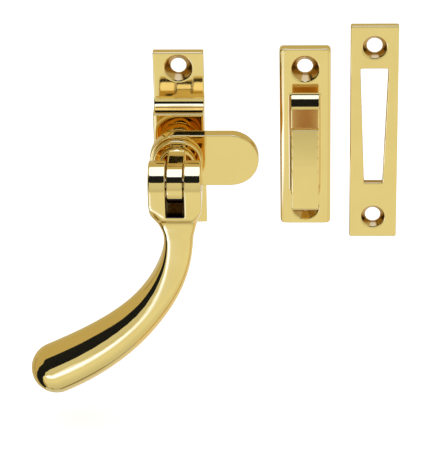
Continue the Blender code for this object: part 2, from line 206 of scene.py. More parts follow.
# Camera and studio, in metres from here on.
CAMERA_ELEVATION = radians(28.0)
CAMERA_AZIMUTH = radians(2.45)
CAMERA_ROLL = radians(-1.15)
CAMERA_AIM = Vector((0.01303, -0.003, -0.03165))
CAMERA_DISTANCE = 0.8
CAMERA_LENS = 195.037
CAMERA_SENSOR = 36
FLOOR_DROP = 0.012
FLOOR_HALF = 6
MIDDLE = (0, -0.04, -0.03)

# A local +Z that points forward, or a local +X that points forward.
FACING = Matrix.Rotation(pi / 2, 4, "X")
EDGE_ON = Matrix.Rotation(-pi / 2, 4, "Z") @ Matrix.Rotation(pi / 2, 4, "X")
TO_METRES = Matrix.Scale(MM, 4)

workshop = bpy.data.collections.new("workshop")
bpy.context.scene.collection.children.link(workshop)


# ---------------------------------------------------------------- shapes, in millimetres


def add(name, mesh, matrix=Matrix.Identity(4)):
    obj = bpy.data.objects.new(name, mesh)
    obj.matrix_world = matrix
    workshop.objects.link(obj)
    return obj


def smooth_step(value):
    value = min(max(value, 0), 1)
    return value * value * (3 - 2 * value)


def arc(centre, radius, start, end, steps):
    angles = [start + (end - start) * i / steps for i in range(steps + 1)]
    return [(centre[0] + radius * cos(a), centre[1] + radius * sin(a)) for a in angles]


def outline_solid(name, loops, thickness, matrix):
    """A slab with a flat outline, the first loop, and openings, the others."""
    curve = bpy.data.curves.new(name, "CURVE")
    curve.dimensions = "2D"
    curve.fill_mode = "BOTH"
    curve.extrude = thickness / 2
    for loop in loops:
        spline = curve.splines.new("POLY")
        spline.points.add(len(loop) - 1)
        for point, (x, y) in zip(spline.points, loop):
            point.co = (x, y, 0, 1)
        spline.use_cyclic_u = True
    guide = bpy.data.objects.new(name, curve)
    workshop.objects.link(guide)
    graph = bpy.context.evaluated_depsgraph_get()
    mesh = bpy.data.meshes.new_from_object(guide.evaluated_get(graph))
    bpy.data.objects.remove(guide)
    work = bmesh.new()
    work.from_mesh(mesh)
    bmesh.ops.remove_doubles(work, verts=work.verts, dist=0.001)
    bmesh.ops.dissolve_limit(work, angle_limit=radians(0.5), verts=work.verts, edges=work.edges)
    bmesh.ops.recalc_face_normals(work, faces=work.faces)
    work.to_mesh(mesh)
    work.free()
    return add(name, mesh, matrix)


def turned(name, profile, matrix, steps=96, ring=False):
    """A profile of (radius, height) points, top to bottom outside, turned about local Z."""
    mesh = bpy.data.meshes.new(name)
    edges = [(i, i + 1) for i in range(len(profile) - 1)]
    if ring:
        edges.append((len(profile) - 1, 0))
    mesh.from_pydata([(r, 0, z) for r, z in profile], edges, [])
    obj = add(name, mesh, matrix)
    screw = obj.modifiers.new("turn", "SCREW")
    screw.steps = steps
    screw.render_steps = steps
    screw.use_merge_vertices = True
    screw.merge_threshold = 0.002
    screw.use_normal_calculate = False
    return obj


def rod(name, radius, length, matrix):
    half = length / 2
    return turned(name, [(0, half), (radius, half), (radius, -half), (0, -half)], matrix)


def box(name, size, centre):
    work = bmesh.new()
    bmesh.ops.create_cube(work, size=1)
    bmesh.ops.scale(work, vec=size, verts=work.verts)
    mesh = bpy.data.meshes.new(name)
    work.to_mesh(mesh)
    work.free()
    return add(name, mesh, Matrix.Translation(centre))


def combine(obj, other, operation):
    boolean = obj.modifiers.new(other.name, "BOOLEAN")
    boolean.operation = operation
    boolean.object = other


def soften(obj, width, segments=3):
    bevel = obj.modifiers.new("soft edges", "BEVEL")
    bevel.width = width
    bevel.segments = segments
    bevel.limit_method = "ANGLE"
    bevel.angle_limit = radians(40)


def cast(obj, voxel=0.25, smoothing=5):
    """One even skin with soft edges and small fillets, as a polished casting has."""
    skin = obj.modifiers.new("skin", "REMESH")
    skin.mode = "VOXEL"
    skin.voxel_size = voxel
    smooth = obj.modifiers.new("polish", "SMOOTH")
    smooth.factor = 0.5
    smooth.iterations = smoothing


def publish(name, obj, body, nodes, material):
    """Makes the modelled object a finished piece: one mesh in metres that rides on its body."""
    graph = bpy.context.evaluated_depsgraph_get()
    mesh = bpy.data.meshes.new_from_object(obj.evaluated_get(graph))
    mesh.transform(TO_METRES @ obj.matrix_world)
    mesh.materials.clear()
    mesh.materials.append(material)
    mesh.shade_smooth()
    piece = bpy.data.objects.new(name, mesh)
    bpy.context.scene.collection.objects.link(piece)
    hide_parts(*nodes)
    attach(piece, body)
    return piece


def screw_hole(name, place, face, head_radius):
    """A cutter for a countersunk hole through a plate whose front is at face."""
    depth = min(COUNTERSINK_DEPTH, face - HOLE_LAND)
    slope = (head_radius - SCREW_RADIUS) / depth
    profile = [
        (0, face + 1),
        (head_radius + slope, face + 1),
        (SCREW_RADIUS, face - depth),
        (SCREW_RADIUS, -1),
        (0, -1),
    ]
    return turned(name, profile, Matrix.Translation(place) @ FACING)


# ---------------------------------------------------------------- plates


def mounting_plate():
    half, block, foot = PLATE_LENGTH / 2, BLOCK_LENGTH / 2, BLOCK_FOOT_LENGTH / 2
    cove = arc((PLATE_THICKNESS + BLOCK_COVE, foot + BLOCK_COVE), BLOCK_COVE, pi, 1.5 * pi, 24)
    upper = [(0, half), (PLATE_THICKNESS, half), *cove, (BLOCK_FORWARD, block)]
    side = upper + [(x, -z) for x, z in reversed(upper)]
    plate = outline_solid("fastener_plate_blank", [side], PLATE_WIDTH, EDGE_ON)
    for number, offset in enumerate((SCREW_OFFSET, -SCREW_OFFSET)):
        hole = screw_hole(f"plate_hole_{number}", (0, 0, offset), PLATE_THICKNESS, SCREW_HEAD_RADIUS)
        combine(plate, hole, "DIFFERENCE")
    bore_radius = SHAFT_RADIUS + GAP
    bore = [
        (0, BLOCK_FORWARD + 1),
        (bore_radius, BLOCK_FORWARD + 1),
        (bore_radius, COUNTERBORE_DEPTH),
        (COUNTERBORE_RADIUS, COUNTERBORE_DEPTH),
        (COUNTERBORE_RADIUS, -1),
        (0, -1),
    ]
    combine(plate, turned("spindle_bore", bore, FACING), "DIFFERENCE")
    cast(plate)
    return plate


def rounded_rectangle(width, length, corner, steps=6):
    points = []
    for quarter, (sx, sz) in enumerate(((1, 1), (-1, 1), (-1, -1), (1, -1))):
        centre = (sx * (width / 2 - corner), sz * (length / 2 - corner))
        start = quarter * pi / 2
        points += arc(centre, corner, start, start + pi / 2, steps)
    return points


def strap_outline():
    """The hook's side view: (forward, height) of its strap, root wall and throat."""

    def front_forward(z):
        share = (STRAP_TOP - z) / (STRAP_TOP - STRAP_BOTTOM)
        return STRAP_TOP_FORWARD + STRAP_BULGE * share * (2 - share)

    steps = 24
    heights = [STRAP_TOP + (STRAP_BOTTOM - STRAP_TOP) * i / steps for i in range(steps + 1)]
    front = [(front_forward(z), z) for z in heights]
    inner_bottom = STRAP_ROOT + STRAP_ROOT_THICKNESS + THROAT_RISE
    inner = [(x - STRAP_THICKNESS, z) for x, z in front if z > inner_bottom]
    buried = HOOK_THICKNESS - STRAP_SUNK
    last = front[-1][0]
    lower = arc((last - STRAP_CORNER, STRAP_BOTTOM), STRAP_CORNER, 0, -pi / 2, 5)[1:]
    root = [(buried, STRAP_ROOT), (buried, STRAP_ROOT + STRAP_ROOT_THICKNESS)]
    throat = [(inner[-1][0] - THROAT_CUT[0], inner_bottom - THROAT_CUT[1])]
    return front + lower + root + throat + list(reversed(inner))


def rib_outline():
    """The side view of the rib behind the strap, with its rounded lead-in at the top."""
    forward = HOOK_THICKNESS + RIB_HEIGHT
    radius = RIB_NOSE_RADIUS
    centre = (forward - radius * cos(RIB_NOSE_START), RIB_TOP - radius * sin(RIB_NOSE_END))
    nose = arc(centre, radius, RIB_NOSE_START, RIB_NOSE_END, 20)
    buried = HOOK_THICKNESS - RIB_SUNK
    bottom = STRAP_ROOT + RIB_ABOVE_ROOT
    return [(forward, bottom), *nose, (buried, RIB_TOP), (buried, bottom)]


def cushion(name):
    """A long bar whose front rolls off gently towards both sides."""
    half = HOOK_WIDTH / 2 + 0.01
    steps = 12
    sides = []
    for i in range(steps + 1):
        angle = pi / 2 * i / steps
        across = half - HOOK_ROLL + HOOK_ROLL * cos(angle)
        sides.append((across, HOOK_THICKNESS - HOOK_ROLL_DROP + HOOK_ROLL_DROP * sin(angle)))
    section = [(half, -1), *sides, *[(-x, forward) for x, forward in reversed(sides)], (-half, -1)]
    place = Matrix.Translation((HOOK_X, 0, HOOK_Z)) @ Matrix.Rotation(pi, 4, "X")
    return outline_solid(name, [section], HOOK_LENGTH + 4, place)


def hook_plate():
    place = Matrix.Translation((HOOK_X, -HOOK_THICKNESS / 2, HOOK_Z)) @ FACING
    loops = [rounded_rectangle(HOOK_WIDTH, HOOK_LENGTH, HOOK_CORNER)]
    plate = outline_solid("hook_plate_blank", loops, HOOK_THICKNESS, place)
    combine(plate, cushion("hook_cushion"), "INTERSECT")
    beside = Matrix.Translation((HOOK_X, 0, 0)) @ EDGE_ON
    rib = outline_solid("hook_rib", [rib_outline()], RIB_WIDTH, beside)
    strap = outline_solid("hook_strap", [strap_outline()], STRAP_WIDTH, beside)
    combine(plate, rib, "UNION")
    combine(plate, strap, "UNION")
    for number, height in enumerate(HOOK_HOLES):
        spot = (HOOK_X, 0, height)
        hole = screw_hole(f"hook_hole_{number}", spot, HOOK_THICKNESS, SCREW_HEAD_RADIUS)
        combine(plate, hole, "DIFFERENCE")
    cast(plate)
    return plate


def mortice_plate():
    place = Matrix.Translation((MORTICE_X, -MORTICE_THICKNESS / 2, MORTICE_Z)) @ FACING
    top, bottom = SLOT_TOP - MORTICE_Z, SLOT_BOTTOM - MORTICE_Z
    slot = [
        (-SLOT_TOP_HALF, top),
        (SLOT_TOP_HALF, top),
        (SLOT_BOTTOM_HALF, bottom),
        (-SLOT_BOTTOM_HALF, bottom),
    ]
    rim = rounded_rectangle(MORTICE_WIDTH, MORTICE_LENGTH, MORTICE_CORNER, steps=3)
    plate = outline_solid("mortice_plate_blank", [rim, slot], MORTICE_THICKNESS, place)
    for number, height in enumerate(MORTICE_HOLES):
        spot = (MORTICE_X, 0, height)
        hole = screw_hole(f"mortice_hole_{number}", spot, MORTICE_THICKNESS, MORTICE_HEAD_RADIUS)
        combine(plate, hole, "DIFFERENCE")
    cast(plate, smoothing=3)
    return plate


# ---------------------------------------------------------------- spindle, collars and tongue


def rounded_ring(outer, inner, back, front, edge, dish=0.0):
    """The section of a ring with rounded rims."""
    out_front = arc((outer - edge, front + dish - edge), edge, pi / 2, 0, 4)
    out_back = arc((outer - edge, back + dish + edge), edge, 0, -pi / 2, 4)
    in_back = arc((inner + edge, back + edge), edge, -pi / 2, -pi, 4)
    in_front = arc((inner + edge, front - edge), edge, pi, pi / 2, 4)
    return out_front + out_back + in_back + in_front


def rivet_washer():
    back = RIVET_RECESS + RIVET_THICKNESS + GAP
    front = back + WASHER_THICKNESS
    section = rounded_ring(WASHER_RADIUS, SHAFT_RADIUS + GAP, back, front, WASHER_EDGE)
    return turned("rivet_washer_blank", section, FACING, ring=True)


def spring_washer():
    back = RIVET_RECESS + RIVET_THICKNESS + WASHER_THICKNESS + 2 * GAP
    front = back + WASHER_THICKNESS
    inner = SHAFT_RADIUS + GAP
    section = rounded_ring(WASHER_RADIUS, inner, back, front, WASHER_EDGE, SPRING_DISH)
    return turned("spring_washer_blank", section, FACING, ring=True)


def spacer_collar():
    back, front = BLOCK_FORWARD + GAP, TONGUE_BACK - GAP
    section = rounded_ring(COLLAR_RADIUS, SHAFT_RADIUS + GAP, back, front, COLLAR_EDGE)
    return turned("spacer_collar_blank", section, FACING, ring=True)


def square_cutter(name, back, front):
    """The square hole of a piece that the spindle drives, cut past both of its faces."""
    side = 2 * (SQUARE_HALF + GAP)
    return box(name, (side, front - back + 2, side), (0, -(front + back) / 2, 0))


def tongue():
    shape = arc((0, 0), TONGUE_RADIUS, pi / 2, 1.5 * pi, 48)
    shape += arc((TONGUE_REACH - TONGUE_RADIUS, 0), TONGUE_RADIUS, -pi / 2, pi / 2, 48)
    middle = TONGUE_BACK + TONGUE_THICKNESS / 2
    place = Matrix.Translation((0, -middle, 0)) @ FACING
    blade = outline_solid("tongue_blank", [shape], TONGUE_THICKNESS, place)
    for vertex in blade.data.vertices:
        if vertex.co.z > 0:
            vertex.co.y *= TONGUE_DRAFT
    cutter = square_cutter("tongue_square", TONGUE_BACK, TONGUE_BACK + TONGUE_THICKNESS)
    combine(blade, cutter, "DIFFERENCE")
    cast(blade, smoothing=4)
    return blade


def boss_collar():
    back = TONGUE_BACK + TONGUE_THICKNESS + GAP
    front = back + BOSS_THICKNESS
    profile = [(0, front)]
    profile += arc((BOSS_RADIUS - BOSS_EDGE, front - BOSS_EDGE), BOSS_EDGE, pi / 2, 0, 4)
    profile += arc((BOSS_RADIUS - BOSS_EDGE, back + BOSS_EDGE), BOSS_EDGE, 0, -pi / 2, 4)
    profile += [(0, back)]
    boss = turned("boss_collar_blank", profile, FACING)
    combine(boss, square_cutter("boss_square", back, front), "DIFFERENCE")
    cast(boss, voxel=0.2, smoothing=3)
    return boss


def lug_outline(back):
    meeting = asin(LUG_ROOT_HALF / LUG_RADIUS)
    eye = arc((KNUCKLE_FORWARD, 0), LUG_RADIUS, pi - meeting, meeting - pi, 64)
    flare = [(back + forward, half) for forward, half in LUG_FLARE]
    return [*flare, *eye, *[(x, -z) for x, z in reversed(flare)]]


def knuckle_bore(name):
    place = Matrix.Translation((0, -KNUCKLE_FORWARD, 0)) @ EDGE_ON
    return rod(name, PIN_RADIUS + GAP, 3 * FORK_HALF, place)


def spindle():
    flange_back = TONGUE_BACK + TONGUE_THICKNESS + BOSS_THICKNESS + 2 * GAP
    flange_front = flange_back + FLANGE_THICKNESS
    square_back = TONGUE_BACK - GAP
    rivet_front = RIVET_RECESS + RIVET_THICKNESS
    core = SQUARE_HALF * 0.9
    shaft = [
        (0, flange_front),
        (FLANGE_RADIUS - SPINDLE_CHAMFER, flange_front),
        (FLANGE_RADIUS, flange_front - SPINDLE_CHAMFER),
        (FLANGE_RADIUS, flange_back),
        (core, flange_back),
        (core, square_back),
        (SHAFT_RADIUS, square_back),
        (SHAFT_RADIUS, rivet_front),
        (RIVET_RADIUS, rivet_front),
        (RIVET_RADIUS - SPINDLE_CHAMFER, RIVET_RECESS),
        (0, RIVET_RECESS),
    ]
    body = turned("spindle_blank", shaft, FACING)
    length = flange_back - square_back + 1
    size = (2 * SQUARE_HALF, length, 2 * SQUARE_HALF)
    combine(body, box("spindle_square", size, (0, -(flange_back + square_back) / 2, 0)), "UNION")
    outline = lug_outline(flange_front - LUG_SUNK)
    lug = outline_solid("spindle_lug", [outline], 2 * LUG_HALF, EDGE_ON)
    combine(body, lug, "UNION")
    combine(body, knuckle_bore("lug_bore"), "DIFFERENCE")
    cast(body, voxel=0.2, smoothing=4)
    return body


# ---------------------------------------------------------------- handle


def corner_section(left, right, flat_left, flat_right, depth, corner_depth, roundness, steps=10):
    """A closed section with flat faces in front and behind and a curved corner at each side.

    Points run as (across, forward), from the middle of the right side round by the front."""

    def corner(edge, flat, front):
        points = []
        for i in range(steps + 1):
            angle = pi / 2 * i / steps
            across = flat + (edge - flat) * cos(angle) ** (2 / roundness)
            deep = depth - corner_depth + corner_depth * sin(angle) ** (2 / roundness)
            points.append((across, front * deep))
        return points

    right_front = corner(right, flat_right, 1)
    left_front = list(reversed(corner(left, flat_left, 1)))
    left_back = corner(left, flat_left, -1)
    right_back = list(reversed(corner(right, flat_right, -1)))
    return right_front + left_front + left_back + right_back


def blend_rows(rows, z):
    """A smooth curve through each column of rows whose first column falls, read at height z."""
    last = len(rows) - 2
    k = 0
    while k < last and z < rows[k + 1][0]:
        k += 1
    before, a, b, after = rows[max(k - 1, 0)], rows[k], rows[k + 1], rows[min(k + 2, last + 1)]
    t = min(max((z - a[0]) / (b[0] - a[0]), 0), 1)
    values = []
    for p, q, r, s in zip(before[1:], a[1:], b[1:], after[1:]):
        m0 = (r - p) / 2
        m1 = (s - q) / 2
        values.append(
            (2 * t ** 3 - 3 * t ** 2 + 1) * q
            + (t ** 3 - 2 * t ** 2 + t) * m0
            + (3 * t ** 2 - 2 * t ** 3) * r
            + (t ** 3 - t ** 2) * m1
        )
    return values


# Height, left and right edge, left and right end of the front flat, half depth, corner depth and
# roundness of the handle between its fork and its arm.
SHOULDERS = (
    (-4.2, -8.1, 8.1, -7.7, 7.7, 7.1, 0.5, 2.0),
    (-5.7, -8.1, 8.1, -7.6, 7.8, 7.1, 0.6, 1.9),
    (-6.5, -8.15, 8.1, -6.2, 7.7, 7.1, 1.6, 1.8),
    (-7.3, -8.2, 8.1, -4.8, 7.1, 7.1, 2.6, 1.7),
    (-8.7, -8.15, 7.9, -3.0, 5.8, 7.1, 3.8, 1.7),
    (-9.7, -7.75, 7.6, -2.9, 5.4, 6.8, 4.0, 1.7),
    (-10.9, -7.0, 7.1, -3.0, 5.2, 5.9, 3.6, 1.8),
    (-12.4, -5.7, 6.6, -2.9, 5.0, 5.6, 3.2, 1.8),
    (-13.9, -4.8, 6.15, -2.7, 4.6, 5.5, 2.9, 1.9),
    (-15.5, -4.15, 5.75, -2.3, 4.1, 5.4, 2.6, 2.0),
    (-17.4, -3.9, 5.3, -2.0, 3.6, 5.3, 2.5, 2.0),
)


def arm_turn(length):
    return ARM_FULL_TURN * (1 - exp(-length / ARM_TURN_LENGTH))


def arm_rings(steps=110, cap_steps=20):
    """(centre, turn, section) along the bent arm and round its domed end."""
    rings = []
    x, z = NECK_X, NECK_Z
    step = ARM_LENGTH / steps
    top = SHOULDERS[-1]
    for i in range(steps + 1):
        length = i * step
        share = i / steps
        swell = (1 - cos(pi * share)) / 2
        radius = NECK_RADIUS + (BULB_RADIUS - NECK_RADIUS) * swell
        settle = exp(-length / NECK_SETTLES_IN)
        left = -radius + (top[1] - NECK_X + radius) * settle
        right = radius + (top[2] - NECK_X - radius) * settle
        rounding = smooth_step(share / ARM_ROUND_BY)
        flat = 1 - rounding
        flat_left = (top[3] - NECK_X) * flat
        flat_right = (top[4] - NECK_X) * flat
        depth = radius + (top[5] - NECK_RADIUS) * (1 - share) ** 2
        corner_depth = top[6] * flat + depth * rounding
        section = (left, right, flat_left, flat_right, depth, corner_depth, QUARTER_CIRCLE)
        rings.append(((x, z), arm_turn(length), section))
        turn = arm_turn(length + step / 2)
        x, z = x - sin(turn) * step, z - cos(turn) * step
    (x, z), turn, section = rings[-1]
    for i in range(1, cap_steps):
        angle = pi / 2 * i / cap_steps
        shift = BULB_RADIUS * sin(angle)
        shrink = cos(angle)
        small = tuple(value * shrink for value in section[:6]) + (QUARTER_CIRCLE,)
        rings.append(((x - sin(turn) * shift, z - cos(turn) * shift), turn, small))
    tip = (x - sin(turn) * BULB_RADIUS, z - cos(turn) * BULB_RADIUS)
    return rings, tip


def loft_handle():
    """The shoulders, neck, arm and bulb as one skin through their sections."""
    rings = []
    top, bottom = SHOULDERS[0][0], SHOULDERS[-1][0]
    steps = 40
    for i in range(steps):
        z = top + (bottom - top) * i / steps
        rings.append(((0, z), 0.0, tuple(blend_rows(SHOULDERS, z))))
    arm, tip = arm_rings()
    rings += arm
    work = bmesh.new()
    loops = []
    for (x, z), turn, section in rings:
        loop = []
        for across, deep in corner_section(*section):
            spot = (x + cos(turn) * across, -KNUCKLE_FORWARD - deep, z - sin(turn) * across)
            loop.append(work.verts.new(spot))
        loops.append(loop)
    sides = len(loops[0])
    for upper, lower in zip(loops, loops[1:]):
        for i in range(sides):
            j = (i + 1) % sides
            work.faces.new((upper[i], upper[j], lower[j], lower[i]))
    work.faces.new(list(reversed(loops[0])))
    pole = work.verts.new((tip[0], -KNUCKLE_FORWARD, tip[1]))
    for i in range(sides):
        work.faces.new((loops[-1][i], loops[-1][(i + 1) % sides], pole))
    bmesh.ops.remove_doubles(work, verts=work.verts, dist=0.0005)
    bmesh.ops.recalc_face_normals(work, faces=work.faces)
    mesh = bpy.data.meshes.new("arm_and_bulb")
    work.to_mesh(mesh)
    work.free()
    return add("arm_and_bulb", mesh)


def handle():
    crown = arc((KNUCKLE_FORWARD, 0), FORK_RADIUS, 0, pi, 72)
    back, front = KNUCKLE_FORWARD - FORK_RADIUS, KNUCKLE_FORWARD + FORK_RADIUS
    outline = [(front, FORK_BOTTOM), *crown, (back, FORK_BOTTOM)]
    body = outline_solid("handle_blank", [outline], 2 * FORK_HALF, EDGE_ON)
    soften(body, FORK_EDGE)
    combine(body, loft_handle(), "UNION")
    slot_height = 30
    size = (2 * FORK_SLOT_HALF, 4 * FORK_RADIUS, slot_height)
    place = (0, -KNUCKLE_FORWARD, FORK_FLOOR + slot_height / 2)
    combine(body, box("fork_slot", size, place), "DIFFERENCE")
    combine(body, knuckle_bore("ear_bore"), "DIFFERENCE")
    cast(body, voxel=0.27, smoothing=4)
    return body


def knuckle_pin():
    half = FORK_HALF - PIN_INSET
    profile = [(0, half)]
    profile += arc((PIN_RADIUS - PIN_EDGE, half - PIN_EDGE), PIN_EDGE, pi / 2, 0, 4)
    profile += arc((PIN_RADIUS - PIN_EDGE, PIN_EDGE - half), PIN_EDGE, 0, -pi / 2, 4)
    profile += [(0, -half)]
    place = Matrix.Translation((0, -KNUCKLE_FORWARD, 0)) @ Matrix.Rotation(pi / 2, 4, "Y")
    return turned("knuckle_pin_blank", profile, place)


# ---------------------------------------------------------------- materials


def inside(nodes, links, place, low, high, fade=0.25):
    """A mask that is 1 inside a box given in millimetres and fades out at its faces."""
    centre = [(a + b) / 2 for a, b in zip(low, high)]
    half = [(b - a) / 2 for a, b in zip(low, high)]
    shift = nodes.new("ShaderNodeVectorMath")
    shift.operation = "SUBTRACT"
    shift.inputs[1].default_value = [c * MM for c in centre]
    links.new(place.outputs["Object"], shift.inputs[0])
    distance = nodes.new("ShaderNodeVectorMath")
    distance.operation = "ABSOLUTE"
    links.new(shift.outputs["Vector"], distance.inputs[0])
    parts = nodes.new("ShaderNodeSeparateXYZ")
    links.new(distance.outputs["Vector"], parts.inputs["Vector"])
    mask = None
    for axis, reach in zip("XYZ", half):
        step = nodes.new("ShaderNodeMapRange")
        step.interpolation_type = "SMOOTHSTEP"
        step.inputs["From Min"].default_value = reach * MM
        step.inputs["From Max"].default_value = (reach - fade) * MM
        links.new(parts.outputs[axis], step.inputs["Value"])
        if mask is None:
            mask = step.outputs["Result"]
        else:
            both = nodes.new("ShaderNodeMath")
            both.operation = "MULTIPLY"
            links.new(mask, both.inputs[0])
            links.new(step.outputs["Result"], both.inputs[1])
            mask = both.outputs["Value"]
    return mask


def brass(name, colour, roughness, haze, recesses=()):
    """Polished metal: a mirror with faint polishing lines, soft tarnish clouds and a little haze.

    Recesses are boxes (low, high, colour, roughness) in which it takes that colour and is duller: painted
    shade in the fork's slot and the hook's throat, and a browner colour in the plates' holes."""
    made = bpy.data.materials.new(name)
    made.use_nodes = True
    nodes, links = made.node_tree.nodes, made.node_tree.links
    shader = nodes["Principled BSDF"]
    shader.inputs["Metallic"].default_value = 1.0
    place = nodes.new("ShaderNodeTexCoord")

    clouds = nodes.new("ShaderNodeTexNoise")
    clouds.inputs["Scale"].default_value = CLOUD_SCALE
    clouds.inputs["Detail"].default_value = 4.0
    links.new(place.outputs["Object"], clouds.inputs["Vector"])
    tint = nodes.new("ShaderNodeValToRGB")
    tint.color_ramp.elements[0].position = 0.3
    tint.color_ramp.elements[0].color = (*[c * d for c, d in zip(colour, CLOUD_TINT)], 1)
    tint.color_ramp.elements[1].position = 0.7
    tint.color_ramp.elements[1].color = (*colour, 1)
    links.new(clouds.outputs["Fac"], tint.inputs["Fac"])

    stretch = nodes.new("ShaderNodeMapping")
    stretch.inputs["Scale"].default_value = POLISH_LINES
    links.new(place.outputs["Object"], stretch.inputs["Vector"])
    lines = nodes.new("ShaderNodeTexNoise")
    lines.inputs["Scale"].default_value = 1.0
    lines.inputs["Detail"].default_value = 2.0
    links.new(stretch.outputs["Vector"], lines.inputs["Vector"])
    spread = nodes.new("ShaderNodeMapRange")
    spread.inputs["To Min"].default_value = roughness
    spread.inputs["To Max"].default_value = roughness + haze
    links.new(lines.outputs["Fac"], spread.inputs["Value"])

    base, dullness = tint.outputs["Color"], spread.outputs["Result"]
    # Each box mixes in its colour and roughness; in the fork's slot and the hook's throat that colour is
    # painted shade.
    for low, high, recess_colour, grain in recesses:
        mask = inside(nodes, links, place, low, high)
        recolour = nodes.new("ShaderNodeMix")
        recolour.data_type = "RGBA"
        recolour.inputs["B"].default_value = (*recess_colour, 1)
        links.new(mask, recolour.inputs["Factor"])
        links.new(base, recolour.inputs["A"])
        base = recolour.outputs["Result"]
        dull = nodes.new("ShaderNodeMix")
        dull.inputs["B"].default_value = grain
        links.new(mask, dull.inputs["Factor"])
        links.new(dullness, dull.inputs["A"])
        dullness = dull.outputs["Result"]
    links.new(base, shader.inputs["Base Color"])
    links.new(dullness, shader.inputs["Roughness"])

    bump = nodes.new("ShaderNodeBump")
    bump.inputs["Strength"].default_value = 0.02
    bump.inputs["Distance"].default_value = POLISH_BUMP
    links.new(lines.outputs["Fac"], bump.inputs["Height"])
    links.new(bump.outputs["Normal"], shader.inputs["Normal"])
    return made


# ---------------------------------------------------------------- studio


def towards(azimuth, elevation):
    """The direction at an azimuth, 0 in front and positive to the right, and an elevation."""
    return Vector((sin(azimuth) * cos(elevation), -cos(azimuth) * cos(elevation), sin(elevation)))


def camera():
    """A long lens well above the object, a little to its right."""
    back = towards(CAMERA_AZIMUTH, CAMERA_ELEVATION)
    data = bpy.data.cameras.new("camera")
    data.sensor_width = CAMERA_SENSOR
    data.lens = CAMERA_LENS
    data.clip_start = 0.01
    data.clip_end = 50
    made = bpy.data.objects.new("camera", data)
    bpy.context.scene.collection.objects.link(made)
    level = (-back).to_track_quat("-Z", "Y").to_matrix().to_4x4()
    roll = Matrix.Rotation(CAMERA_ROLL, 4, "Z")
    made.matrix_world = Matrix.Translation(CAMERA_AIM + CAMERA_DISTANCE * back) @ level @ roll
    bpy.context.scene.camera = made


def floor_paint():
    """A matt pale surface with a weak glow, which keeps it even behind the object."""
    made = bpy.data.materials.new("pale_floor")
    made.use_nodes = True
    shader = made.node_tree.nodes["Principled BSDF"]
    shader.inputs["Base Color"].default_value = (0.85, 0.85, 0.85, 1)
    shader.inputs["Roughness"].default_value = 0.9
    shader.inputs["Specular IOR Level"].default_value = 0.0
    shader.inputs["Emission Color"].default_value = (1, 1, 1, 1)
    shader.inputs["Emission Strength"].default_value = 0.25
    return made


def floor():
    """A plain pale floor. The brass mirrors the cards below instead of it."""
    work = bmesh.new()
    bmesh.ops.create_grid(work, x_segments=1, y_segments=1, size=FLOOR_HALF)
    mesh = bpy.data.meshes.new("floor")
    work.to_mesh(mesh)
    work.free()
    obj = bpy.data.objects.new("floor", mesh)
    obj.location = (0, 0, cad_low.z - FLOOR_DROP)
    bpy.context.scene.collection.objects.link(obj)
    mesh.materials.append(floor_paint())
    obj.visible_glossy = False


def glowing(name, edge, middle):
    """A glow that runs from one colour at a card's edges to another in its middle."""
    made = bpy.data.materials.new(name)
    made.use_nodes = True
    nodes, links = made.node_tree.nodes, made.node_tree.links
    nodes.remove(nodes["Principled BSDF"])
    light = nodes.new("ShaderNodeEmission")
    share = nodes.new("ShaderNodeAttribute")
    share.attribute_name = "middle"
    mix = nodes.new("ShaderNodeMix")
    mix.data_type = "RGBA"
    mix.clamp_result = False
    mix.inputs["A"].default_value = (*edge, 1)
    mix.inputs["B"].default_value = (*middle, 1)
    links.new(share.outputs["Fac"], mix.inputs["Factor"])
    links.new(mix.outputs["Result"], light.inputs["Color"])
    links.new(light.outputs["Emission"], nodes["Material Output"].inputs["Surface"])
    return made


def show_in_brass_only(name, grid, place, material):
    """A card from a grid of (position, share of the middle colour)."""
    points = [spot for line in grid for spot, share in line]
    shares = [share for line in grid for spot, share in line]
    width = len(grid[0])
    faces = []
    for row in range(len(grid) - 1):
        for i in range(width - 1):
            corner = row * width + i
            faces.append((corner, corner + 1, corner + width + 1, corner + width))
    mesh = bpy.data.meshes.new(name)
    mesh.from_pydata(points, [], faces)
    layer = mesh.attributes.new("middle", "FLOAT", "POINT")
    for value, share in zip(layer.data, shares):
        value.value = share
    mesh.materials.append(material)
    obj = bpy.data.objects.new(name, mesh)
    obj.location = place
    bpy.context.scene.collection.objects.link(obj)
    obj.visible_camera = False
    obj.visible_diffuse = False
    obj.visible_shadow = False


def filled_in(rows, counts):
    """Rows of numbers with evenly spaced rows between them, so many steps to each next one."""
    lines = []
    for a, b, count in zip(rows, rows[1:], counts):
        for i in range(count):
            lines.append([p + (q - p) * i / count for p, q in zip(a, b)])
    return [*lines, rows[-1]]


def card(name, rows, distance, colour, across=30):
    """A large curved card round the object, all of one colour.

    Rows are (elevation, left azimuth, right azimuth) in degrees as seen from the object."""
    counts = [max(1, int(abs(b[0] - a[0]) / 3)) for a, b in zip(rows, rows[1:])]
    grid = []
    for elevation, left, right in filled_in(rows, counts):
        line = []
        for i in range(across + 1):
            azimuth = radians(left + (right - left) * i / across)
            line.append((towards(azimuth, radians(elevation)) * distance, 0.0))
        grid.append(line)
    show_in_brass_only(name, grid, MIDDLE, glowing(name, colour, colour))


def surroundings(rows, distance):
    """A dome whose glow changes with elevation: rows of (elevation, colour)."""
    for number, ((low, low_colour), (high, high_colour)) in enumerate(zip(rows, rows[1:])):
        grid = []
        steps = max(1, int((high - low) / 4))
        for j in range(steps + 1):
            up = radians(low + (high - low) * j / steps)
            around = [radians(azimuth) for azimuth in range(0, 361, 5)]
            grid.append([(towards(azimuth, up) * distance, j / steps) for azimuth in around])
        name = f"dome_{number}"
        show_in_brass_only(name, grid, MIDDLE, glowing(name, low_colour, high_colour))


